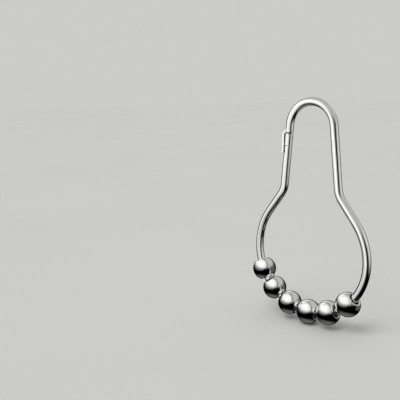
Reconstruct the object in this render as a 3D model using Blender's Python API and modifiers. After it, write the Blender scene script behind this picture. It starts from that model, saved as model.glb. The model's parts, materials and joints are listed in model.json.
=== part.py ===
"""Shower curtain hook: one chrome wire bent into a pear-shaped ring, with roller beads on its wide end.

Metres, +Z up. The ring lies in the XZ plane and is seen from -Y. The narrow loop is at the top, the beads
are at the bottom, and the origin is the inside of the loop's crown. The wire's two ends meet in a snap latch
on the left neck arm: the upper end runs down into a thin tongue that lies over a flat on the lower end.
"""

import math

import bmesh
import bpy
from mathutils import Vector

# Ring: round wire along arcs and straights, measured on its centreline
WIRE_DIAMETER = 0.0028
LOOP_RADIUS = 0.0084
NECK_LEAN = math.radians(5.5)
NECK_LENGTH = 0.0208
SHOULDER_RADIUS = 0.0080
FLANK_LEAN = math.radians(36.5)
FLANK_RADIUS = 0.0226
BOW_RADIUS = 0.0212

# Latch: lengths run down the left neck arm from the end of the loop's arc
LATCH_START = 0.0029
TONGUE_LENGTH = 0.0073
TONGUE_THICKNESS = 0.00085
TONGUE_INSET = 0.0003  # each edge of the tongue lies this far inside the wire's width
TONGUE_CLOSING = 0.0004  # the tongue comes this much nearer to the wire's centreline by its tip
TIP_LIFT = 0.00015
TIP_LENGTH = 0.0012
JOGGLE_LENGTH = 0.0026
JOGGLE_PAST_END = 0.0007
LATCH_SHAVE = 0.0004  # depth of the flat where the lower end starts
FLAT_TAPER = 0.0008  # the flat is this much deeper by the tongue's tip
LATCH_CLEARANCE = 0.0004
RECESS_PAST_TIP = 0.0004
END_GAP = 0.00015
END_DOME = 0.00025
END_DOME_RIM = math.radians(30)  # slope left at the rim of each domed end
CATCH_THICKNESS = 0.00025
CATCH_WIDTH = 0.0012
CATCH_REACH = 0.00065  # past the flat
CATCH_PLACE = 0.0043  # below the upper end
SLOT_CLEARANCE = 0.00015
EDGE_ROUNDING = 0.0002

# Roller beads: balls with flat ends and a straight bore
BEAD_DIAMETER = 0.0085
BEAD_LENGTH = 0.0068  # along the bore
BORE_CLEARANCE = 0.0003
END_ROUNDING = 0.00035
BEAD_GAPS = (0.0003, 0.0003, 0.0003, 0.0003, 0.00105)  # from the left; the last bead has slid away
BEAD_TURN = math.radians(10)  # the row of beads is centred this far left of the bow's lowest point

# Facets
ARC_STEP = math.radians(5.0)
WIRE_BEVEL_RESOLUTION = 6  # 16 sides
DOME_STEPS = 4
ROUNDING_STEPS = 2
JOGGLE_STEPS = 8
TIP_STEPS = 4
CATCH_STEPS = 4
BEAD_STEPS = 28
BEAD_ARC_STEPS = 12
ROUNDED_END_STEPS = 2
WELD_DISTANCE = 0.000001
SHARP_ANGLE = math.radians(40)

CHROME = (0.80, 0.81, 0.82)
WIRE_ROUGHNESS = 0.06
BEAD_ROUGHNESS = 0.04

wire_radius = WIRE_DIAMETER / 2
bead_radius = BEAD_DIAMETER / 2


def start_scene():
    """Empties the scene and makes the two collections."""
    for old in list(bpy.data.objects):
        bpy.data.objects.remove(old)
    scene = bpy.context.scene.collection
    collections = []
    for name in ("shower_curtain_hook", "cutters"):
        collection = bpy.data.collections.new(name)
        scene.children.link(collection)
        collections.append(collection)
    return collections


def chrome(name, roughness):
    material = bpy.data.materials.new(name)
    material.use_nodes = True
    shader = material.node_tree.nodes["Principled BSDF"]
    shader.inputs["Base Color"].default_value = (*CHROME, 1)
    shader.inputs["Metallic"].default_value = 1
    shader.inputs["Roughness"].default_value = roughness
    return material


def direction(angle):
    """The unit vector in the ring's plane at this angle from +X towards +Z."""
    return Vector((math.cos(angle), math.sin(angle)))


def arc(centre, radius, start, end):
    """Points along an arc in the ring's plane, both ends included."""
    count = max(2, math.ceil(abs(end - start) / ARC_STEP))
    return [centre + radius * direction(start + (end - start) * i / count) for i in range(count + 1)]


def smooth_step(value):
    value = min(max(value, 0), 1)
    return value * value * (3 - 2 * value)


# Landmarks of the right half, from the crown down; the left half mirrors them
loop_centre = Vector((0, wire_radius - LOOP_RADIUS))
neck_out = direction(NECK_LEAN)
neck_down = Vector((neck_out.y, -neck_out.x))
neck_top = loop_centre + LOOP_RADIUS * neck_out
neck_foot = neck_top + NECK_LENGTH * neck_down
shoulder_centre = neck_foot + SHOULDER_RADIUS * neck_out
flank_out = direction(FLANK_LEAN)
flank_top = shoulder_centre - SHOULDER_RADIUS * flank_out
flank_centre_x = BOW_RADIUS - FLANK_RADIUS
flank_foot_x = flank_centre_x + FLANK_RADIUS * flank_out.x
flank_drop = (flank_foot_x - flank_top.x) * flank_out.x / flank_out.y
flank_centre = Vector((flank_centre_x, flank_top.y - flank_drop - FLANK_RADIUS * flank_out.y))
bow_centre = Vector((0, flank_centre.y))


def half_below_neck():
    """The right half's centreline from the foot of the neck to the bow's lowest point."""
    shoulder = arc(shoulder_centre, SHOULDER_RADIUS, math.pi + NECK_LEAN, math.pi + FLANK_LEAN)
    flank = arc(flank_centre, FLANK_RADIUS, FLANK_LEAN, 0)
    bow = arc(bow_centre, BOW_RADIUS, 0, -math.pi / 2)
    return shoulder + flank + bow[1:]


def on_left_neck(down, out):
    """A point beside the left neck arm: down along it from the loop, and out from its centreline."""
    point = neck_top + down * neck_down + out * neck_out
    return Vector((-point.x, point.y))


def domed_end(tip, inward):
    """(point, radius) pairs of a wire end from its tip inwards: inward is +1 down the neck, -1 up it."""
    pairs = []
    for i in range(DOME_STEPS + 1):
        angle = END_DOME_RIM + (math.pi / 2 - END_DOME_RIM) * i / DOME_STEPS
        depth = END_DOME * (1 - math.cos(angle) / math.cos(END_DOME_RIM))
        pairs.append((on_left_neck(tip + inward * depth, 0), math.sin(angle)))
    return pairs


def wire_route():
    """(point, radius) pairs of the whole wire, from its upper end over the loop to its lower end."""
    loop = arc(loop_centre, LOOP_RADIUS, math.pi - NECK_LEAN, NECK_LEAN)
    half = half_below_neck()
    other_half = [Vector((-point.x, point.y)) for point in reversed(half[:-1])]
    route = domed_end(LATCH_START, -1)
    route += [(point, 1) for point in loop + half + other_half]
    return route + list(reversed(domed_end(LATCH_START + END_GAP, 1)))


def mesh_from_curve(curve_object, collection):
    """Turns a curve object into a closed mesh object of the same name and place."""
    bpy.context.view_layer.update()
    evaluated = curve_object.evaluated_get(bpy.context.evaluated_depsgraph_get())
    mesh = bpy.data.meshes.new_from_object(evaluated)
    name = curve_object.name
    place = curve_object.matrix_world.copy()
    bpy.data.objects.remove(curve_object)
    welded = bmesh.new()
    welded.from_mesh(mesh)
    bmesh.ops.remove_doubles(welded, verts=welded.verts, dist=WELD_DISTANCE)
    bmesh.ops.recalc_face_normals(welded, faces=welded.faces)
    welded.to_mesh(mesh)
    welded.free()
    made = bpy.data.objects.new(name, mesh)
    made.matrix_world = place
    collection.objects.link(made)
    return made


def wire_object(collection):
    """The bent wire, as a tube along its route."""
    curve = bpy.data.curves.new("wire_ring", "CURVE")
    curve.dimensions = "3D"
    curve.bevel_depth = wire_radius
    curve.bevel_resolution = WIRE_BEVEL_RESOLUTION
    curve.use_fill_caps = True
    route = wire_route()
    spline = curve.splines.new("POLY")
    spline.points.add(len(route) - 1)
    for knot, (point, radius) in zip(spline.points, route):
        knot.co = (point.x, 0, point.y, 1)
        knot.radius = radius
    tube = bpy.data.objects.new("wire_ring", curve)
    collection.objects.link(tube)
    return mesh_from_curve(tube, collection)


# Latch: distances down the neck arm
tongue_width = WIRE_DIAMETER - 2 * TONGUE_INSET
tongue_tip = LATCH_START + TONGUE_LENGTH
joggle_end = LATCH_START + JOGGLE_PAST_END
joggle_start = joggle_end - JOGGLE_LENGTH
catch_down = LATCH_START + CATCH_PLACE


def flat_out(down):
    """How far out from the centreline the lower end's flat lies."""
    return wire_radius - LATCH_SHAVE - FLAT_TAPER * (down - LATCH_START) / TONGUE_LENGTH


def tongue_inner_out(down):
    """How far out the tongue's inner face lies: inside the wire at its root, and lifted at its tip."""
    root = math.sqrt(wire_radius**2 - (tongue_width / 2) ** 2) - TONGUE_THICKNESS - EDGE_ROUNDING / 2
    closing = TONGUE_CLOSING * (down - LATCH_START) / TONGUE_LENGTH
    run = wire_radius - LATCH_SHAVE + LATCH_CLEARANCE - closing
    rise = smooth_step((down - joggle_start) / JOGGLE_LENGTH)
    lift = TIP_LIFT * smooth_step((down - tongue_tip + TIP_LENGTH) / TIP_LENGTH)
    return root + (run - root) * rise + lift


def tongue_outline():
    """The tongue seen from the front: down its inner face, then back up its outer face."""
    joggle = [joggle_start + JOGGLE_LENGTH * i / JOGGLE_STEPS for i in range(JOGGLE_STEPS + 1)]
    tip = [tongue_tip - TIP_LENGTH + TIP_LENGTH * i / TIP_STEPS for i in range(TIP_STEPS + 1)]
    inner = [on_left_neck(down, tongue_inner_out(down)) for down in joggle + tip]
    outer = [on_left_neck(down, tongue_inner_out(down) + TONGUE_THICKNESS) for down in joggle + tip]
    return inner + list(reversed(outer))


def catch_outline(margin):
    """The catch seen from the front, or its slot where there is a margin, from inside the tongue inwards."""
    half = CATCH_THICKNESS / 2 + margin
    root = tongue_inner_out(catch_down) + TONGUE_THICKNESS / 2
    end_centre = flat_out(catch_down) - CATCH_REACH + CATCH_THICKNESS / 2
    points = [on_left_neck(catch_down + half, root)]
    for i in range(CATCH_STEPS + 1):
        angle = math.pi * i / CATCH_STEPS
        points.append(on_left_neck(catch_down + half * math.cos(angle), end_centre - half * math.sin(angle)))
    return points + [on_left_neck(catch_down - half, root)]


def flat_solid(name, outline, thickness, collection):
    """A flat outline in the ring's plane, extruded to this thickness about it."""
    curve = bpy.data.curves.new(name, "CURVE")
    curve.dimensions = "2D"
    curve.fill_mode = "BOTH"
    curve.extrude = thickness / 2
    spline = curve.splines.new("POLY")
    spline.points.add(len(outline) - 1)
    for knot, point in zip(spline.points, outline):
        knot.co = (point.x, point.y, 0, 1)
    spline.use_cyclic_u = True
    solid = bpy.data.objects.new(name, curve)
    solid.rotation_euler = (math.pi / 2, 0, 0)
    collection.objects.link(solid)
    return mesh_from_curve(solid, collection)


def as_tool(tool):
    tool.hide_render = True
    tool.display_type = "WIRE"
    return tool


def tongue_object(cutters):
    """The thin tongue that the upper end carries, with its edges rounded."""
    tongue = as_tool(flat_solid("latch_tongue", tongue_outline(), tongue_width, cutters))
    rounding = tongue.modifiers.new("rounded edges", "BEVEL")
    rounding.width = EDGE_ROUNDING
    rounding.segments = ROUNDING_STEPS
    rounding.limit_method = "ANGLE"
    rounding.angle_limit = SHARP_ANGLE
    return tongue


def shave_object(cutters):
    """The block whose inner face cuts the flat on the lower end."""
    top = LATCH_START
    foot = tongue_tip + RECESS_PAST_TIP
    far = wire_radius + WIRE_DIAMETER
    corners = [(top, flat_out(top)), (foot, flat_out(foot)), (foot, far), (top, far)]
    outline = [on_left_neck(down, out) for down, out in corners]
    return as_tool(flat_solid("latch_shave", outline, 2 * WIRE_DIAMETER, cutters))


def slot_object(cutters):
    """The bar that cuts the slot that the catch enters, across the flat."""
    return as_tool(flat_solid("latch_slot", catch_outline(SLOT_CLEARANCE), 2 * WIRE_DIAMETER, cutters))


def catch_object(cutters):
    """The small catch on the tongue's inner face, narrower than the tongue."""
    return as_tool(flat_solid("latch_catch", catch_outline(0), CATCH_WIDTH, cutters))


def add_boolean(target, tool, operation):
    modifier = target.modifiers.new(tool.name, "BOOLEAN")
    modifier.operation = operation
    modifier.solver = "EXACT"
    modifier.object = tool


def wire_ring(collection, cutters):
    """The bent wire with its latch: flat and slot on the lower end, tongue and catch on the upper end."""
    ring = wire_object(collection)
    ring.data.shade_smooth()
    ring.data.set_sharp_from_angle(angle=SHARP_ANGLE)
    ring.data.materials.append(chrome("polished_wire", WIRE_ROUGHNESS))
    add_boolean(ring, shave_object(cutters), "DIFFERENCE")
    add_boolean(ring, slot_object(cutters), "DIFFERENCE")
    add_boolean(ring, tongue_object(cutters), "UNION")
    add_boolean(ring, catch_object(cutters), "UNION")
    return ring


# Bead: bored off the wire's curve, so that a straight bore clears the bent wire
bead_half_length = BEAD_LENGTH / 2
wire_sagitta = BOW_RADIUS - math.sqrt(BOW_RADIUS**2 - bead_half_length**2)
bead_inset = wire_sagitta / 2
bore_radius = wire_radius + bead_inset + BORE_CLEARANCE
rounding_height = bead_half_length - END_ROUNDING
rim_ring = math.sqrt((bead_radius - END_ROUNDING) ** 2 - rounding_height**2)


def bead_profile():
    """(radius, height) points of a bead's section, from its upper bore lip down its outside."""
    lip_centre = Vector((bore_radius + END_ROUNDING, rounding_height))
    rim_centre = Vector((rim_ring, rounding_height))
    ball_start = math.atan2(rounding_height, rim_ring)
    points = []
    for i in range(ROUNDED_END_STEPS + 1):
        points.append(lip_centre + END_ROUNDING * direction(math.pi - math.pi / 2 * i / ROUNDED_END_STEPS))
    for i in range(ROUNDED_END_STEPS):
        angle = math.pi / 2 + (ball_start - math.pi / 2) * i / ROUNDED_END_STEPS
        points.append(rim_centre + END_ROUNDING * direction(angle))
    for i in range(BEAD_ARC_STEPS // 2):
        points.append(bead_radius * direction(ball_start - 2 * ball_start * i / BEAD_ARC_STEPS))
    lower = [Vector((point.x, -point.y)) for point in reversed(points)]
    return points + [Vector((bead_radius, 0))] + lower


def bead_mesh():
    """The closed profile that each bead's Screw turns about Z."""
    profile = bmesh.new()
    verts = [profile.verts.new((point.x, 0, point.y)) for point in bead_profile()]
    for vert, following in zip(verts, verts[1:] + verts[:1]):
        profile.edges.new((vert, following))
    mesh = bpy.data.meshes.new("roller_bead")
    profile.to_mesh(mesh)
    profile.free()
    mesh.materials.append(chrome("polished_bead", BEAD_ROUGHNESS))
    return mesh


def bead_step(gap):
    """The angle about the bow's centre between two beads whose rims stay this gap apart."""
    inward = BOW_RADIUS - bead_inset - rim_ring
    reach = math.hypot(rounding_height, inward)
    return 2 * (math.atan2(rounding_height, inward) + math.asin((END_ROUNDING + gap / 2) / reach))


def bead_angles():
    """The beads' places round the bow's centre, from left to right."""
    steps = [bead_step(gap) for gap in BEAD_GAPS]
    first = -math.pi / 2 - BEAD_TURN - sum(steps) / 2
    return [first + sum(steps[:i]) for i in range(len(steps) + 1)]


def roller_beads(collection, ring):
    """The beads, each with its origin on the bore's axis and its Z along the wire."""
    mesh = bead_mesh()
    for number, angle in enumerate(bead_angles(), 1):
        place = bow_centre + (BOW_RADIUS - bead_inset) * direction(angle)
        bead = bpy.data.objects.new(f"roller_bead_{number}", mesh)
        bead.location = (place.x, 0, place.y)
        bead.rotation_euler = (0, -angle, 0)
        bead.parent = ring
        collection.objects.link(bead)
        turned = bead.modifiers.new("turned", "SCREW")
        turned.axis = "Z"
        turned.steps = BEAD_STEPS
        turned.render_steps = BEAD_STEPS
        turned.use_merge_vertices = True
        turned.merge_threshold = WELD_DISTANCE
        turned.use_smooth_shade = True


def main():
    collection, cutters = start_scene()
    ring = wire_ring(collection, cutters)
    roller_beads(collection, ring)


main()
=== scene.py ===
"""Looks of the shower curtain hook: polished chrome wire and beads on a pale studio floor.

The ring and the beads are modelled again with fine facets over the CAD solids, from the same sizes. All
lengths are metres. Angles are radians, apart from the lights' azimuths and elevations, which are degrees.
Azimuths are counted from the camera's own, positive to the camera's right.
"""

import json
import math

import bmesh
import bpy
from mathutils import Matrix, Vector


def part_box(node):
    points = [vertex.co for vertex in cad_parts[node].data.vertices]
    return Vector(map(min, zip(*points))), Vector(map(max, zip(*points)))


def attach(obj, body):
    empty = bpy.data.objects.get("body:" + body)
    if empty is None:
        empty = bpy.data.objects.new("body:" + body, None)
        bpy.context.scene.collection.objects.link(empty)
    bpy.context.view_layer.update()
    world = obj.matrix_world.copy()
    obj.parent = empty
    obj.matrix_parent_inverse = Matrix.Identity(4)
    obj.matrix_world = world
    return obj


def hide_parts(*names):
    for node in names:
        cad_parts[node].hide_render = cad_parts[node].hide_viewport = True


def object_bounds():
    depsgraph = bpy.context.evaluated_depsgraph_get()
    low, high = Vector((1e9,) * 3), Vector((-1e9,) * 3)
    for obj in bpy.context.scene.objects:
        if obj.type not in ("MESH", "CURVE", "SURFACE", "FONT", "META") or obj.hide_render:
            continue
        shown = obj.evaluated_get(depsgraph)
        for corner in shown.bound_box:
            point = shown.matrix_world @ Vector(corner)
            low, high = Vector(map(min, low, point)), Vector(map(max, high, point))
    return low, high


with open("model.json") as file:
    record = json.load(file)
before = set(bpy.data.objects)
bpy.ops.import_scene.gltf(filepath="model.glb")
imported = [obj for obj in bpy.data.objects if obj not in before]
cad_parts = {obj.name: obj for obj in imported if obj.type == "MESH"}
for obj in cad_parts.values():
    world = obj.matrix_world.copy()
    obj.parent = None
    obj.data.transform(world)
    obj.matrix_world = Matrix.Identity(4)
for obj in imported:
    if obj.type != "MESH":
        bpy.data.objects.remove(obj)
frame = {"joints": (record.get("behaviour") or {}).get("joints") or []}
cad_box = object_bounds()

# Ring: round wire along arcs and straights, measured on its centreline
WIRE_DIAMETER = 0.0028
LOOP_RADIUS = 0.0084
NECK_LEAN = math.radians(5.5)
NECK_LENGTH = 0.0208
SHOULDER_RADIUS = 0.0080
FLANK_LEAN = math.radians(36.5)
FLANK_RADIUS = 0.0226
BOW_RADIUS = 0.0212

# Latch, in the left neck arm
LATCH_START = 0.0029  # down the arm from the end of the loop's arc
TONGUE_LENGTH = 0.0073
TONGUE_THICKNESS = 0.00085
TONGUE_INSET = 0.0003
TONGUE_CLOSING = 0.0004
TIP_LIFT = 0.00015
TIP_LENGTH = 0.0012
JOGGLE_LENGTH = 0.0026
JOGGLE_PAST_END = 0.0007
LATCH_SHAVE = 0.0004
FLAT_TAPER = 0.0008
LATCH_CLEARANCE = 0.0004
RECESS_PAST_TIP = 0.0004
END_GAP = 0.00015
END_DOME = 0.00025
END_DOME_RIM = math.radians(30)
CATCH_THICKNESS = 0.00025
CATCH_WIDTH = 0.0012
CATCH_REACH = 0.00065
CATCH_PLACE = 0.0043  # down the arm from LATCH_START
SLOT_CLEARANCE = 0.00015
EDGE_ROUNDING = 0.0002

# Roller beads: balls with flat ends and a straight bore
BEAD_DIAMETER = 0.0085
BEAD_LENGTH = 0.0068
BORE_CLEARANCE = 0.0003
END_ROUNDING = 0.00035

# Facets
ARC_STEP = math.radians(1.25)
STRAIGHT_STEP = 0.0006
WIRE_SIDES = 48
DOME_STEPS = 10
JOGGLE_STEPS = 20
TIP_STEPS = 10
CATCH_STEPS = 12
ROUNDING_STEPS = 4
BEAD_SIDES = 96
BEAD_ARC_STEPS = 64
ROUNDED_END_STEPS = 8
END_FACE_STEPS = 6
BORE_STEPS = 6
SHARP_ANGLE = math.radians(32)
ROUNDED_ANGLE = math.radians(50)  # edges of the tongue sharper than this are rounded

# Metals: scales are in features per metre, swings are shares of the roughness
CHROME = (0.89, 0.89, 0.868)
CHROME_DULL = (0.84, 0.84, 0.818)
BORE_STEEL = (0.42, 0.42, 0.41)
BORE_DULL = (0.32, 0.32, 0.312)
HAZE_SCALE = 650
HAZE_SWING = 0.25
WAVE_SCALE = 330
MARK_SWING = 0.3
NOISE_RANGE = (0.3, 0.7)  # between which most of a noise texture's values lie
TURNED_MAP = "turned"  # the UV map that the polishing marks follow: angle round a piece, length along it

# Camera, in the photograph's place
CAMERA_PLACE = (0.09817, -0.16413, 0.00514)
CAMERA_TILT = math.radians(79.12)
CAMERA_ROLL = math.radians(1.29)
CAMERA_TURN = math.radians(42.0)
CAMERA_LENS = 50.4
CAMERA_CLIP = (0.01, 20)

# Floor
FLOOR_RADIUS = 3.5
FLOOR_SIDES = 96
FLOOR_TONE = (0.68, 0.68, 0.675)
FLOOR_SHADE = (0.66, 0.66, 0.655)
FLOOR_ROUGHNESS = (0.8, 0.95)
CLOUD_SCALE = 9
GRAIN_SCALE = 1400
GRAIN_HEIGHT = 0.00004

# Surroundings: directions are (azimuth, elevation) in degrees
STUDIO_CENTRE = Vector((0, 0, -0.045))
BACKDROP_TONE = (0.60, 0.60, 0.595)
CEILING_RISE = (0.02, 0.56)  # sines of the elevation
CEILING_LEVEL = 0.55
SEAM_FACING = (-73, 11.5)  # square to the plane through the two panels' seam
SEAM_HALF_WIDTH = 0.11  # sine of the angle from that plane
SEAM_DARKNESS = 0.9
GLOW_MIDDLE = (-150, -80)
GLOW_RISE = (0.7, 1)  # cosines of the angle from the glow's middle
GLOW_LEVEL = 0.135
SUN_PLACE = (-50, 55)
SUN_STRENGTH = 1.2
SUN_WIDTH = math.radians(35)

wire_radius = WIRE_DIAMETER / 2
bead_radius = BEAD_DIAMETER / 2


def direction(angle):
    """The 2-D unit vector at this angle; in the ring's plane that is from +X towards +Z."""
    return Vector((math.cos(angle), math.sin(angle)))


def arc(centre, radius, start, end):
    """Points along an arc in the ring's plane, both ends included."""
    count = max(2, math.ceil(abs(end - start) / ARC_STEP))
    return [centre + radius * direction(start + (end - start) * i / count) for i in range(count + 1)]


def straight(start, end):
    """Points between two points in the ring's plane, both left out."""
    count = math.ceil((end - start).length / STRAIGHT_STEP)
    return [start.lerp(end, i / count) for i in range(1, count)]


def smooth_step(value):
    value = min(max(value, 0), 1)
    return value * value * (3 - 2 * value)


# Landmarks of the ring's right half, from the crown down; the left half mirrors them
loop_centre = Vector((0, wire_radius - LOOP_RADIUS))
neck_out = direction(NECK_LEAN)
neck_down = Vector((neck_out.y, -neck_out.x))
neck_top = loop_centre + LOOP_RADIUS * neck_out
neck_foot = neck_top + NECK_LENGTH * neck_down
shoulder_centre = neck_foot + SHOULDER_RADIUS * neck_out
flank_out = direction(FLANK_LEAN)
flank_top = shoulder_centre - SHOULDER_RADIUS * flank_out
flank_centre_x = BOW_RADIUS - FLANK_RADIUS
flank_foot_x = flank_centre_x + FLANK_RADIUS * flank_out.x
flank_drop = (flank_foot_x - flank_top.x) * flank_out.x / flank_out.y
flank_centre = Vector((flank_centre_x, flank_top.y - flank_drop - FLANK_RADIUS * flank_out.y))
bow_centre = Vector((0, flank_centre.y))


def half_below_neck():
    """The right half's centreline from the foot of the neck to the bow's lowest point."""
    shoulder = arc(shoulder_centre, SHOULDER_RADIUS, math.pi + NECK_LEAN, math.pi + FLANK_LEAN)
    flank = arc(flank_centre, FLANK_RADIUS, FLANK_LEAN, 0)
    bow = arc(bow_centre, BOW_RADIUS, 0, -math.pi / 2)
    return shoulder + straight(shoulder[-1], flank[0]) + flank + bow[1:]


def on_left_neck(down, out):
    """A point beside the left neck arm: down along it from the loop, and out from its centreline."""
    point = neck_top + down * neck_down + out * neck_out
    return Vector((-point.x, point.y))


def domed_end(tip, inward):
    """(point, radius) pairs of a wire end from its tip inwards: inward is +1 down the neck, -1 up it."""
    pairs = []
    for i in range(DOME_STEPS + 1):
        angle = END_DOME_RIM + (math.pi / 2 - END_DOME_RIM) * i / DOME_STEPS
        depth = END_DOME * (1 - math.cos(angle) / math.cos(END_DOME_RIM))
        pairs.append((on_left_neck(tip + inward * depth, 0), wire_radius * math.sin(angle)))
    return pairs


def wire_route():
    """(point, radius) pairs of the whole wire, from its upper end over the loop to its lower end."""
    loop = arc(loop_centre, LOOP_RADIUS, math.pi - NECK_LEAN, NECK_LEAN)
    half = half_below_neck()
    right = loop + straight(loop[-1], half[0]) + half
    left = [Vector((-point.x, point.y)) for point in reversed(half[:-1])]
    lower_end = list(reversed(domed_end(LATCH_START + END_GAP, 1)))
    upper_end = domed_end(LATCH_START, -1)
    middle = straight(upper_end[-1][0], loop[0]) + right + left + straight(left[-1], lower_end[0][0])
    return upper_end + [(point, wire_radius) for point in middle] + lower_end


def mesh_from(shape, name):
    """A mesh made of a bmesh, with its faces turned outwards."""
    bmesh.ops.recalc_face_normals(shape, faces=shape.faces)
    mesh = bpy.data.meshes.new(name)
    shape.to_mesh(mesh)
    shape.free()
    return mesh


def scene_object(name, data):
    """An object of this mesh, light or camera, put into the scene."""
    made = bpy.data.objects.new(name, data)
    bpy.context.scene.collection.objects.link(made)
    return made


def mapped_face(shape, uv_layer, corners, places):
    """A face between these corners, which lie at these places in the UV map."""
    face = shape.faces.new(corners)
    for loop, place in zip(face.loops, places):
        loop[uv_layer].uv = place
    return face


def swept_wire(name, route):
    """A closed round tube along a route."""
    tube = bmesh.new()
    uv_layer = tube.loops.layers.uv.new(TURNED_MAP)
    hoops = []
    lengths = [0]
    for i, (point, radius) in enumerate(route):
        before = route[max(i - 1, 0)][0]
        after = route[min(i + 1, len(route) - 1)][0]
        tangent = (after - before).normalized()
        side = Vector((tangent.y, 0, -tangent.x))
        centre = Vector((point.x, 0, point.y))
        hoop = []
        for k in range(WIRE_SIDES):
            angle = math.tau * k / WIRE_SIDES
            offset = math.cos(angle) * side + math.sin(angle) * Vector((0, 1, 0))
            hoop.append(tube.verts.new(centre + radius * offset))
        hoops.append(hoop)
        if i:
            lengths.append(lengths[-1] + (point - route[i - 1][0]).length)
    for i in range(len(hoops) - 1):
        for k in range(WIRE_SIDES):
            following = (k + 1) % WIRE_SIDES
            corners = (hoops[i][k], hoops[i][following], hoops[i + 1][following], hoops[i + 1][k])
            near = math.tau * k / WIRE_SIDES
            far = math.tau * (k + 1) / WIRE_SIDES
            places = ((near, lengths[i]), (far, lengths[i]), (far, lengths[i + 1]), (near, lengths[i + 1]))
            mapped_face(tube, uv_layer, corners, places)
    tube.faces.new(hoops[0])
    tube.faces.new(hoops[-1])
    return scene_object(name, mesh_from(tube, name))


# Latch: the tongue's width, and places down the arm from the end of the loop's arc
tongue_width = WIRE_DIAMETER - 2 * TONGUE_INSET
tongue_tip = LATCH_START + TONGUE_LENGTH
joggle_end = LATCH_START + JOGGLE_PAST_END
joggle_start = joggle_end - JOGGLE_LENGTH
catch_down = LATCH_START + CATCH_PLACE


def flat_out(down):
    """How far out from the centreline the lower end's flat lies."""
    return wire_radius - LATCH_SHAVE - FLAT_TAPER * (down - LATCH_START) / TONGUE_LENGTH


def tongue_inner_out(down):
    """How far out the tongue's inner face lies: inside the wire at its root, and lifted at its tip."""
    root = math.sqrt(wire_radius**2 - (tongue_width / 2) ** 2) - TONGUE_THICKNESS - EDGE_ROUNDING / 2
    closing = TONGUE_CLOSING * (down - LATCH_START) / TONGUE_LENGTH
    run = wire_radius - LATCH_SHAVE + LATCH_CLEARANCE - closing
    rise = smooth_step((down - joggle_start) / JOGGLE_LENGTH)
    lift = TIP_LIFT * smooth_step((down - tongue_tip + TIP_LENGTH) / TIP_LENGTH)
    return root + (run - root) * rise + lift


def tongue_outline():
    """The tongue seen from the front: down its inner face, then back up its outer face."""
    joggle = [joggle_start + JOGGLE_LENGTH * i / JOGGLE_STEPS for i in range(JOGGLE_STEPS + 1)]
    tip = [tongue_tip - TIP_LENGTH + TIP_LENGTH * i / TIP_STEPS for i in range(TIP_STEPS + 1)]
    inner = [on_left_neck(down, tongue_inner_out(down)) for down in joggle + tip]
    outer = [on_left_neck(down, tongue_inner_out(down) + TONGUE_THICKNESS) for down in joggle + tip]
    return inner + list(reversed(outer))


def catch_outline(margin):
    """The catch seen from the front, or its slot where there is a margin, from inside the tongue inwards."""
    half = CATCH_THICKNESS / 2 + margin
    root = tongue_inner_out(catch_down) + TONGUE_THICKNESS / 2
    end_centre = flat_out(catch_down) - CATCH_REACH + CATCH_THICKNESS / 2
    points = [on_left_neck(catch_down + half, root)]
    for i in range(CATCH_STEPS + 1):
        angle = math.pi * i / CATCH_STEPS
        points.append(on_left_neck(catch_down + half * math.cos(angle), end_centre - half * math.sin(angle)))
    return points + [on_left_neck(catch_down - half, root)]


def flat_solid(name, outline, thickness):
    """A flat outline in the ring's plane, as a slab of this thickness about it."""
    slab = bmesh.new()
    uv_layer = slab.loops.layers.uv.new(TURNED_MAP)
    front = [slab.verts.new((point.x, -thickness / 2, point.y)) for point in outline]
    face = slab.faces.new(front)
    grown = bmesh.ops.extrude_face_region(slab, geom=[face])
    back = [item for item in grown["geom"] if isinstance(item, bmesh.types.BMVert)]
    bmesh.ops.translate(slab, verts=back, vec=(0, thickness, 0))
    for face in slab.faces:
        for loop in face.loops:
            loop[uv_layer].uv = (loop.vert.co.y / wire_radius, loop.vert.co.z)
    return scene_object(name, mesh_from(slab, name))


def tongue_tool():
    """The thin tongue that the upper end carries, with its edges rounded."""
    tongue = flat_solid("latch_tongue", tongue_outline(), tongue_width)
    rounding = tongue.modifiers.new("rounded edges", "BEVEL")
    rounding.width = EDGE_ROUNDING
    rounding.segments = ROUNDING_STEPS
    rounding.limit_method = "ANGLE"
    rounding.angle_limit = ROUNDED_ANGLE
    return tongue


def shave_tool():
    """The block whose inner face cuts the flat on the lower end."""
    top = LATCH_START
    foot = tongue_tip + RECESS_PAST_TIP
    far = wire_radius + WIRE_DIAMETER
    corners = [(top, flat_out(top)), (foot, flat_out(foot)), (foot, far), (top, far)]
    return flat_solid("latch_shave", [on_left_neck(down, out) for down, out in corners], 2 * WIRE_DIAMETER)


def slot_tool():
    """The bar that cuts the slot that the catch enters, across the flat."""
    return flat_solid("latch_slot", catch_outline(SLOT_CLEARANCE), 2 * WIRE_DIAMETER)


def catch_tool():
    """The small catch on the tongue's inner face, narrower than the tongue."""
    return flat_solid("latch_catch", catch_outline(0), CATCH_WIDTH)


def apply_modifiers(piece):
    """Gives the piece the mesh that its modifiers make, and drops them."""
    evaluated = piece.evaluated_get(bpy.context.evaluated_depsgraph_get())
    mesh = bpy.data.meshes.new_from_object(evaluated)
    piece.modifiers.clear()
    piece.data = mesh


def combine(target, tool, operation):
    """Cuts the tool from the target or joins it on, and deletes the tool."""
    modifier = target.modifiers.new(tool.name, "BOOLEAN")
    modifier.operation = operation
    modifier.solver = "EXACT"
    modifier.object = tool
    bpy.context.view_layer.update()
    apply_modifiers(target)
    bpy.data.objects.remove(tool)


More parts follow.
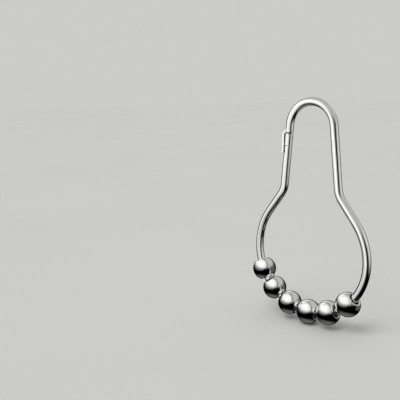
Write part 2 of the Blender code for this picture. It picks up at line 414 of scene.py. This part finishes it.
def wire_ring(finish):
    """The bent wire with its latch, in place of the CAD ring."""
    ring = swept_wire("polished_ring", wire_route())
    combine(ring, shave_tool(), "DIFFERENCE")
    combine(ring, slot_tool(), "DIFFERENCE")
    combine(ring, tongue_tool(), "UNION")
    combine(ring, catch_tool(), "UNION")
    ring.data.shade_smooth()
    ring.data.set_sharp_from_angle(angle=SHARP_ANGLE)
    ring.data.materials.clear()
    ring.data.materials.append(finish)
    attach(ring, "ring")
    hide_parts("wire_ring")
    return ring


# Bead: bored off the wire's curve, so that a straight bore clears the bent wire
bead_half_length = BEAD_LENGTH / 2
wire_sagitta = BOW_RADIUS - math.sqrt(BOW_RADIUS**2 - bead_half_length**2)
bore_radius = wire_radius + wire_sagitta / 2 + BORE_CLEARANCE
rounding_height = bead_half_length - END_ROUNDING
rim_radius = math.sqrt((bead_radius - END_ROUNDING) ** 2 - rounding_height**2)


def bead_profile():
    """(radius, height) points of a bead's section, down its outside and back up its bore."""
    lip_centre = Vector((bore_radius + END_ROUNDING, rounding_height))
    rim_centre = Vector((rim_radius, rounding_height))
    ball_start = math.atan2(rounding_height, rim_radius)
    upper_end = []
    for i in range(ROUNDED_END_STEPS):
        angle = math.pi - math.pi / 2 * i / ROUNDED_END_STEPS
        upper_end.append(lip_centre + END_ROUNDING * direction(angle))
    for i in range(END_FACE_STEPS):
        upper_end.append(lip_centre.lerp(rim_centre, i / END_FACE_STEPS) + END_ROUNDING * Vector((0, 1)))
    for i in range(ROUNDED_END_STEPS):
        angle = math.pi / 2 + (ball_start - math.pi / 2) * i / ROUNDED_END_STEPS
        upper_end.append(rim_centre + END_ROUNDING * direction(angle))
    ball = []
    for i in range(BEAD_ARC_STEPS + 1):
        ball.append(bead_radius * direction(ball_start - 2 * ball_start * i / BEAD_ARC_STEPS))
    lower_end = [Vector((point.x, -point.y)) for point in reversed(upper_end)]
    bore = []
    for i in range(1, BORE_STEPS):
        bore.append(Vector((bore_radius, rounding_height * (2 * i / BORE_STEPS - 1))))
    return upper_end + ball + lower_end + bore


def bead_mesh(finish, bore_finish):
    """The turned bead about its own Z."""
    profile = bead_profile()
    bore_start = len(profile) - BORE_STEPS
    lengths = [0]
    for point, following in zip(profile, profile[1:] + profile[:1]):
        lengths.append(lengths[-1] + (following - point).length)
    shape = bmesh.new()
    uv_layer = shape.loops.layers.uv.new(TURNED_MAP)
    sections = []
    for k in range(BEAD_SIDES):
        around = direction(math.tau * k / BEAD_SIDES)
        places = [(point.x * around.x, point.x * around.y, point.y) for point in profile]
        sections.append([shape.verts.new(place) for place in places])
    for k, section in enumerate(sections):
        following = sections[(k + 1) % BEAD_SIDES]
        near = math.tau * k / BEAD_SIDES
        far = math.tau * (k + 1) / BEAD_SIDES
        for i in range(len(profile)):
            j = (i + 1) % len(profile)
            corners = (section[i], section[j], following[j], following[i])
            places = ((near, lengths[i]), (near, lengths[i + 1]), (far, lengths[i + 1]), (far, lengths[i]))
            face = mapped_face(shape, uv_layer, corners, places)
            face.material_index = int(i >= bore_start)
    mesh = mesh_from(shape, "turned_bead")
    mesh.shade_smooth()
    mesh.materials.append(finish)
    mesh.materials.append(bore_finish)
    return mesh


def roller_beads(finish, bore_finish):
    """One turned bead in place of each CAD bead, on the joint that it spins about."""
    mesh = bead_mesh(finish, bore_finish)
    beads = []
    for joint in frame["joints"]:
        node = joint["child"].replace("bead", "roller_bead")
        low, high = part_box(node)
        turn = Vector(joint["axis"]).to_track_quat("Z", "Y")
        placed = mesh.copy()
        placed.transform(Matrix.LocRotScale((low + high) / 2, turn, None))
        bead = scene_object(node.replace("roller", "polished"), placed)
        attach(bead, joint["child"])
        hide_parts(node)
        beads.append(bead)
    return beads


def new_material(name):
    material = bpy.data.materials.new(name)
    material.use_nodes = True
    return material, material.node_tree.nodes, material.node_tree.links


def noise(nodes, links, vector, scale, detail):
    """A noise texture's value over these coordinates."""
    texture = nodes.new("ShaderNodeTexNoise")
    texture.inputs["Scale"].default_value = scale
    texture.inputs["Detail"].default_value = detail
    links.new(vector, texture.inputs["Vector"])
    return texture.outputs["Fac"]


def map_range(nodes, links, value, interpolation, source, target):
    """A value mapped from one range to another."""
    mapped = nodes.new("ShaderNodeMapRange")
    mapped.interpolation_type = interpolation
    mapped.inputs["From Min"].default_value, mapped.inputs["From Max"].default_value = source
    mapped.inputs["To Min"].default_value, mapped.inputs["To Max"].default_value = target
    links.new(value, mapped.inputs["Value"])
    return mapped.outputs["Result"]


def spread(nodes, links, value, low, high):
    """A noise value's usual range mapped to this one."""
    return map_range(nodes, links, value, "LINEAR", NOISE_RANGE, (low, high))


def fade(nodes, links, value, start, end, level):
    """Nothing at the start value, rising smoothly to this level at the end value."""
    return map_range(nodes, links, value, "SMOOTHSTEP", (start, end), (0, level))


def blend(nodes, links, factor, first, second):
    """A colour between these two."""
    colour = nodes.new("ShaderNodeMix")
    colour.data_type = "RGBA"
    colour.inputs["A"].default_value = (*first, 1)
    colour.inputs["B"].default_value = (*second, 1)
    links.new(factor, colour.inputs["Factor"])
    return colour.outputs["Result"]


def math_node(nodes, links, operation, *values):
    node = nodes.new("ShaderNodeMath")
    node.operation = operation
    for socket, value in zip(node.inputs, values):
        if isinstance(value, (int, float)):
            socket.default_value = value
        else:
            links.new(value, socket)
    return node.outputs[0]


def bump(nodes, links, height, distance, normal=None):
    """A bump of this height in metres, over another bump where there is one."""
    raised = nodes.new("ShaderNodeBump")
    raised.inputs["Distance"].default_value = distance
    links.new(height, raised.inputs["Height"])
    if normal:
        links.new(normal, raised.inputs["Normal"])
    return raised.outputs["Normal"]


def mark_coordinates(nodes, links, round_it, along_it):
    """Coordinates drawn out by the UV map: marks per radian round the piece, and per metre along it."""
    uv_map = nodes.new("ShaderNodeUVMap")
    uv_map.uv_map = TURNED_MAP
    parts = nodes.new("ShaderNodeSeparateXYZ")
    links.new(uv_map.outputs["UV"], parts.inputs["Vector"])
    place = nodes.new("ShaderNodeCombineXYZ")
    for axis, operation in (("X", "COSINE"), ("Y", "SINE")):
        turned = math_node(nodes, links, operation, parts.outputs["X"])
        links.new(math_node(nodes, links, "MULTIPLY", turned, round_it), place.inputs[axis])
    links.new(math_node(nodes, links, "MULTIPLY", parts.outputs["Y"], along_it), place.inputs["Z"])
    return place.outputs["Vector"]


def polished(name, tint, dull_tint, roughness, marks_round, marks_along, mark_depth, waviness):
    """Plated metal: hazy patches, fine polishing marks, and a faint waviness under the plating."""
    material, nodes, links = new_material(name)
    shader = nodes["Principled BSDF"]
    shader.inputs["Metallic"].default_value = 1
    coordinates = nodes.new("ShaderNodeTexCoord").outputs["Object"]
    haze = noise(nodes, links, coordinates, HAZE_SCALE, detail=4)
    waves = noise(nodes, links, coordinates, WAVE_SCALE, detail=0)
    drawn_out = mark_coordinates(nodes, links, marks_round, marks_along)
    marks = noise(nodes, links, drawn_out, scale=1, detail=3)
    colour = blend(nodes, links, spread(nodes, links, haze, 0, 1), dull_tint, tint)
    links.new(colour, shader.inputs["Base Color"])
    patchy = spread(nodes, links, haze, (1 - HAZE_SWING) * roughness, (1 + HAZE_SWING) * roughness)
    scored = spread(nodes, links, marks, 1 - MARK_SWING, 1 + MARK_SWING)
    links.new(math_node(nodes, links, "MULTIPLY", patchy, scored), shader.inputs["Roughness"])
    wavy = bump(nodes, links, waves, waviness)
    links.new(bump(nodes, links, marks, mark_depth, wavy), shader.inputs["Normal"])
    return material


def studio_floor():
    """The pale matte floor, level with the lowest bead; it keeps out of the chrome's reflections."""
    shape = bmesh.new()
    bmesh.ops.create_circle(shape, cap_ends=True, radius=FLOOR_RADIUS, segments=FLOOR_SIDES)
    lowest = cad_box[0].z
    bmesh.ops.translate(shape, verts=shape.verts, vec=(0, 0, lowest))
    ground = scene_object("studio_floor", mesh_from(shape, "studio_floor"))
    material, nodes, links = new_material("pale_floor")
    shader = nodes["Principled BSDF"]
    coordinates = nodes.new("ShaderNodeTexCoord").outputs["Object"]
    cloudy = noise(nodes, links, coordinates, CLOUD_SCALE, detail=4)
    grain = noise(nodes, links, coordinates, GRAIN_SCALE, detail=2)
    colour = blend(nodes, links, spread(nodes, links, cloudy, 0, 1), FLOOR_SHADE, FLOOR_TONE)
    links.new(colour, shader.inputs["Base Color"])
    links.new(spread(nodes, links, grain, *FLOOR_ROUGHNESS), shader.inputs["Roughness"])
    links.new(bump(nodes, links, grain, GRAIN_HEIGHT), shader.inputs["Normal"])
    ground.data.materials.append(material)
    ground.visible_glossy = False


def along(nodes, links, vector, axis):
    """How far a vector reaches along this axis."""
    product = nodes.new("ShaderNodeVectorMath")
    product.operation = "DOT_PRODUCT"
    product.inputs[1].default_value = axis
    links.new(vector, product.inputs[0])
    return product.outputs["Value"]


def from_camera(azimuth, elevation):
    """The direction at this azimuth from the camera's own, and this elevation, in degrees."""
    turn = CAMERA_TURN + math.radians(azimuth)
    rise = math.radians(elevation)
    return Vector((math.sin(turn) * math.cos(rise), -math.cos(turn) * math.cos(rise), math.sin(rise)))


def studio_world():
    """Pale to the camera; to the chrome, dark with a grey ceiling of two panels and a low glow."""
    world = bpy.data.worlds.new("studio")
    bpy.context.scene.world = world
    world.use_nodes = True
    nodes = world.node_tree.nodes
    links = world.node_tree.links
    nodes.clear()
    output = nodes.new("ShaderNodeOutputWorld")
    rays = nodes.new("ShaderNodeLightPath")
    pale = nodes.new("ShaderNodeBackground")
    pale.inputs["Color"].default_value = (*BACKDROP_TONE, 1)
    dark = nodes.new("ShaderNodeBackground")
    dark.inputs["Color"].default_value = (1, 1, 1, 1)
    place = nodes.new("ShaderNodeTexCoord").outputs["Generated"]
    height = along(nodes, links, place, (0, 0, 1))
    ceiling = fade(nodes, links, height, *CEILING_RISE, CEILING_LEVEL)
    off_seam = math_node(nodes, links, "ABSOLUTE", along(nodes, links, place, from_camera(*SEAM_FACING)))
    seam = fade(nodes, links, off_seam, SEAM_HALF_WIDTH, 0, SEAM_DARKNESS)
    panels = math_node(nodes, links, "MULTIPLY", ceiling, math_node(nodes, links, "SUBTRACT", 1, seam))
    near_glow = along(nodes, links, place, from_camera(*GLOW_MIDDLE))
    glow = fade(nodes, links, near_glow, *GLOW_RISE, GLOW_LEVEL)
    links.new(math_node(nodes, links, "ADD", panels, glow), dark.inputs["Strength"])
    mix = nodes.new("ShaderNodeMixShader")
    links.new(rays.outputs["Is Glossy Ray"], mix.inputs["Fac"])
    links.new(pale.outputs["Background"], mix.inputs[1])
    links.new(dark.outputs["Background"], mix.inputs[2])
    links.new(mix.outputs["Shader"], output.inputs["Surface"])


def aim(piece, place, target):
    piece.location = place
    piece.rotation_mode = "QUATERNION"
    piece.rotation_quaternion = (target - place).to_track_quat("-Z", "Y")


def studio_place(azimuth, elevation, distance):
    """A point round the object."""
    return STUDIO_CENTRE + distance * from_camera(azimuth, elevation)


def reflected_card(name, place, target, size, radiance, softness):
    """A white card that only the chrome sees; it fades to its edges over this share of its size."""
    light = bpy.data.lights.new(name, "AREA")
    light.shape = "RECTANGLE"
    light.size, light.size_y = size
    light.energy = radiance * math.pi * size[0] * size[1]
    light.use_nodes = True
    nodes = light.node_tree.nodes
    links = light.node_tree.links
    emission = nodes["Emission"]
    geometry = nodes.new("ShaderNodeNewGeometry")
    parts = nodes.new("ShaderNodeSeparateXYZ")
    links.new(geometry.outputs["Parametric"], parts.inputs["Vector"])
    fades = []
    for axis in ("X", "Y"):
        centred = math_node(nodes, links, "SUBTRACT", parts.outputs[axis], 0.5)
        inwards = math_node(nodes, links, "SUBTRACT", 0.5, math_node(nodes, links, "ABSOLUTE", centred))
        fades.append(fade(nodes, links, inwards, 0, softness / 2, 1))
    links.new(math_node(nodes, links, "MULTIPLY", *fades), emission.inputs["Strength"])
    card = scene_object(name, light)
    aim(card, place, target)
    card.visible_camera = False
    card.visible_diffuse = False
    return card


def floor_sun():
    """The broad soft light that the floor and its shadows see, from over the camera's left shoulder."""
    light = bpy.data.lights.new("soft_key", "SUN")
    light.energy = SUN_STRENGTH
    light.angle = SUN_WIDTH
    key = scene_object("soft_key", light)
    aim(key, studio_place(*SUN_PLACE, distance=1), STUDIO_CENTRE)
    key.visible_glossy = False


def standing_card(name, azimuth, distance, low, high, width, radiance, softness):
    """An upright card that faces the hook from this side, between two heights."""
    place = studio_place(azimuth, 0, distance)
    place.z = (low + high) / 2
    target = Vector((STUDIO_CENTRE.x, STUDIO_CENTRE.y, place.z))
    return reflected_card(name, place, target, (width, high - low), radiance, softness)


def leaning_card(name, azimuth, elevation, distance, size, radiance, softness):
    """A card that faces the hook from this direction."""
    place = studio_place(azimuth, elevation, distance)
    return reflected_card(name, place, STUDIO_CENTRE, size, radiance, softness)


def seen_only_by(cards, pieces, name):
    """Keeps the cards out of every other piece's reflections."""
    receivers = bpy.data.collections.new(name)
    for piece in pieces:
        receivers.objects.link(piece)
    for card in cards:
        card.light_linking.receiver_collection = receivers


def studio_lights(ring, beads):
    """The cards that the wire and the beads reflect, and the sun for the floor."""
    wire_cards = [
        standing_card("wire_left", azimuth=-85, distance=0.30, low=-0.31, high=0.37, width=0.76,
                      radiance=1.08, softness=0.85),
        standing_card("wire_right", azimuth=65, distance=0.36, low=-0.28, high=0.22, width=0.90,
                      radiance=0.72, softness=0.95),
        standing_card("wire_near", azimuth=-35, distance=0.095, low=-0.14, high=0.035, width=0.14,
                      radiance=0.80, softness=0.8),
        standing_card("wire_back", azimuth=138, distance=0.25, low=-0.22, high=0.20, width=0.09,
                      radiance=0.7, softness=0.6),
        leaning_card("wire_low", azimuth=150, elevation=-34, distance=0.30, size=(0.42, 0.14),
                     radiance=0.65, softness=0.7),
    ]
    bead_cards = [
        leaning_card("bead_left", azimuth=-76, elevation=41, distance=0.08, size=(0.52, 0.32),
                     radiance=0.64, softness=1.0),
        leaning_card("bead_right", azimuth=90, elevation=-15, distance=0.20, size=(0.30, 0.20),
                     radiance=0.1, softness=0.5),
        leaning_card("bead_back", azimuth=-160, elevation=20, distance=0.30, size=(0.44, 0.30),
                     radiance=0.45, softness=0.5),
    ]
    seen_only_by(wire_cards, [ring], "seen_by_ring")
    seen_only_by(bead_cards, beads, "seen_by_beads")
    floor_sun()


def photo_camera():
    camera = bpy.data.cameras.new("photo_camera")
    camera.lens = CAMERA_LENS
    camera.clip_start, camera.clip_end = CAMERA_CLIP
    viewer = scene_object("photo_camera", camera)
    viewer.location = CAMERA_PLACE
    viewer.rotation_euler = (CAMERA_TILT, CAMERA_ROLL, CAMERA_TURN)
    bpy.context.scene.camera = viewer


wire_finish = polished("chromed_wire", CHROME, CHROME_DULL, roughness=0.07,
                       marks_round=17, marks_along=250, mark_depth=4e-7, waviness=1.5e-5)
bead_finish = polished("chromed_bead", CHROME, CHROME_DULL, roughness=0.09,
                       marks_round=1.5, marks_along=16000, mark_depth=2e-7, waviness=1e-5)
bore_finish = polished("bead_bore", BORE_STEEL, BORE_DULL, roughness=0.32,
                       marks_round=1.5, marks_along=9000, mark_depth=2e-6, waviness=1e-5)
ring = wire_ring(wire_finish)
beads = roller_beads(bead_finish, bore_finish)
studio_floor()
studio_world()
studio_lights(ring, beads)
photo_camera()
bpy.context.scene.view_settings.view_transform = "Standard"
